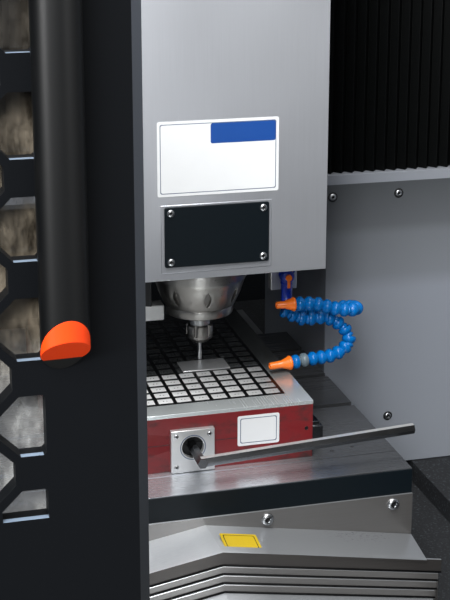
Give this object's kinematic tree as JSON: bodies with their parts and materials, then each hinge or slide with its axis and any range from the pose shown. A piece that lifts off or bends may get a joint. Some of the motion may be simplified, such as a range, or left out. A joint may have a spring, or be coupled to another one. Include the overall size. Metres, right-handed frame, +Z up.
{
  "type": "cnc machining centre",
  "caption": "Bridge-type CNC milling centre with sliding lattice-window doors, a magnetic chuck on the moving table and modular coolant hoses by the spindle.",
  "frame": {"origin": "centre of the footprint on the floor", "axes": "+X to the right seen from the front, +Y to the rear, +Z up; the doors are on the -Y side"},
  "size_m": [1.56, 1.86, 1.996],
  "materials": {
    "casting": "painted casting",
    "foot_steel": "zinc plated",
    "light_sheet": "fine texture light grey paint",
    "ground_steel": "ground",
    "black_motor": "satin black",
    "dark_sheet": "fine texture near-black paint",
    "cover_steel": "brushed",
    "console_paint": "satin dark grey",
    "screen_glass": "gloss",
    "key_plastic": "matt",
    "red_button": "gloss",
    "screw_steel": "turned",
    "brushed_sheet": "brushed stainless",
    "navy_paint": "satin dark blue-black",
    "red_paint": "worn satin red",
    "bellows_rubber": "matt coated cloth",
    "key_steel": "drawn",
    "block_grey": "cast",
    "hose_blue": "moulded",
    "nozzle_orange": "moulded",
    "tool_steel": "ground",
    "window_clear": "clear",
    "handle_black": "fine texture",
    "bright_plate": "milled",
    "dark_socket": "blackened"
  },
  "bodies": {
    "frame": {"bed": "casting", "leveling_feet": "foot_steel", "columns": "casting", "cross_beam": "casting", "gantry_covers": "light_sheet", "frame_rails": "ground_steel", "axis_motors": "black_motor", "chamber_tray": "dark_sheet", "way_cover_base": "cover_steel", "enclosure_sides": "light_sheet", "enclosure_back": "light_sheet", "front_panels": "dark_sheet", "front_frame": "dark_sheet", "console_housing": "console_paint", "console_screen": "screen_glass", "console_keys": "key_plastic", "cover_screws": "screw_steel", "bellows_left": "bellows_rubber", "bellows_right": "bellows_rubber"},
    "stop_button": {"stop_button": "red_button"},
    "x_screw": {"x_screw": "ground_steel"},
    "y_screw": {"y_screw": "ground_steel"},
    "z_screw": {"z_screw": "ground_steel"},
    "table": {"worktable": "brushed_sheet", "table_band": "navy_paint", "chuck_body": "red_paint", "chuck_plate": "ground_steel", "socket_plate": "cover_steel", "workpiece": "bright_plate", "apron": "brushed_sheet", "chuck_clamps": "cover_steel", "table_screws": "screw_steel"},
    "chuck_cam": {"chuck_cam": "dark_socket", "cam_key": "key_steel"},
    "way_cover_1": {"way_cover_1": "cover_steel"},
    "way_cover_2": {"way_cover_2": "cover_steel"},
    "way_cover_3": {"way_cover_3": "cover_steel"},
    "x_carriage": {"x_saddle": "casting", "z_motor": "black_motor"},
    "head": {"head_cover": "brushed_sheet", "hatch_plate": "navy_paint", "hatch_screws": "screw_steel", "headstock": "casting", "spindle_housing": "ground_steel", "coolant_block": "block_grey", "hoses": "hose_blue", "nozzles": "nozzle_orange"},
    "valve_lever_upper": {"valve_lever_upper": "nozzle_orange"},
    "valve_lever_lower": {"valve_lever_lower": "nozzle_orange"},
    "spindle": {"spindle_shaft": "ground_steel", "collet_nut": "ground_steel", "cutting_tool": "tool_steel"},
    "door_left": {"door_left": "dark_sheet", "window_left": "window_clear", "handle_left": "handle_black", "handle_caps_left": "nozzle_orange"},
    "door_right": {"door_right": "dark_sheet", "window_right": "window_clear", "handle_right": "handle_black", "handle_caps_right": "nozzle_orange"}
  },
  "joints": [
    {"name": "y_axis", "type": "slide", "parent": "frame", "child": "table", "axis": [0, 1, 0], "range_m": [-0.2, 0.2]},
    {"name": "way_cover_1_slide", "type": "slide", "parent": "frame", "child": "way_cover_1", "axis": [0, 1, 0], "range_m": [-0.17, 0.17]},
    {"name": "way_cover_2_slide", "type": "slide", "parent": "frame", "child": "way_cover_2", "axis": [0, 1, 0], "range_m": [-0.14, 0.14]},
    {"name": "way_cover_3_slide", "type": "slide", "parent": "frame", "child": "way_cover_3", "axis": [0, 1, 0], "range_m": [-0.11, 0.11]},
    {"name": "x_axis", "type": "slide", "parent": "frame", "child": "x_carriage", "axis": [1, 0, 0], "range_m": [-0.3, 0.19], "deforming": ["bellows_left", "bellows_right"]},
    {"name": "z_axis", "type": "slide", "parent": "x_carriage", "child": "head", "axis": [0, 0, 1], "range_m": [0, 0.2]},
    {"name": "spindle_turn", "type": "hinge", "parent": "head", "child": "spindle", "pos_m": [0.056, -0.09, 1], "axis": [0, 0, 1], "continuous": true},
    {"name": "cam_turn", "type": "hinge", "parent": "table", "child": "chuck_cam", "pos_m": [0, -0.3, 0.885], "axis": [0, -1, 0], "range_deg": [0, 180]},
    {"name": "door_left_slide", "type": "slide", "parent": "frame", "child": "door_left", "axis": [1, 0, 0], "range_m": [-0.13, 0.1715]},
    {"name": "door_right_slide", "type": "slide", "parent": "frame", "child": "door_right", "axis": [-1, 0, 0], "range_m": [-0.13, 0.1715]},
    {"name": "stop_press", "type": "slide", "parent": "frame", "child": "stop_button", "axis": [0, 1, 0], "range_m": [0, 0.005], "stiffness_N_per_m": 900},
    {"name": "valve_upper_turn", "type": "hinge", "parent": "head", "child": "valve_lever_upper", "pos_m": [0.186, -0.098, 1.057], "axis": [0, -1, 0], "range_deg": [0, 90]},
    {"name": "valve_lower_turn", "type": "hinge", "parent": "head", "child": "valve_lever_lower", "pos_m": [0.174, -0.132, 1.057], "axis": [0, -1, 0], "range_deg": [0, 90]},
    {"name": "x_screw_turn", "type": "hinge", "parent": "frame", "child": "x_screw", "pos_m": [0, 0.108, 1.345], "axis": [1, 0, 0], "continuous": true},
    {"name": "y_screw_turn", "type": "hinge", "parent": "frame", "child": "y_screw", "pos_m": [0, 0, 0.724], "axis": [0, 1, 0], "continuous": true},
    {"name": "z_screw_turn", "type": "hinge", "parent": "x_carriage", "child": "z_screw", "pos_m": [0.056, 0.03, 1.5], "axis": [0, 0, 1], "continuous": true}
  ],
  "couplings": [
    {"joint": "way_cover_1_slide", "follows": "y_axis", "ratio": 0.85},
    {"joint": "way_cover_2_slide", "follows": "y_axis", "ratio": 0.7},
    {"joint": "way_cover_3_slide", "follows": "y_axis", "ratio": 0.55},
    {"joint": "x_screw_turn", "follows": "x_axis", "rad_per_m": 628.32},
    {"joint": "y_screw_turn", "follows": "y_axis", "rad_per_m": 628.32},
    {"joint": "z_screw_turn", "follows": "z_axis", "rad_per_m": 628.32}
  ]
}
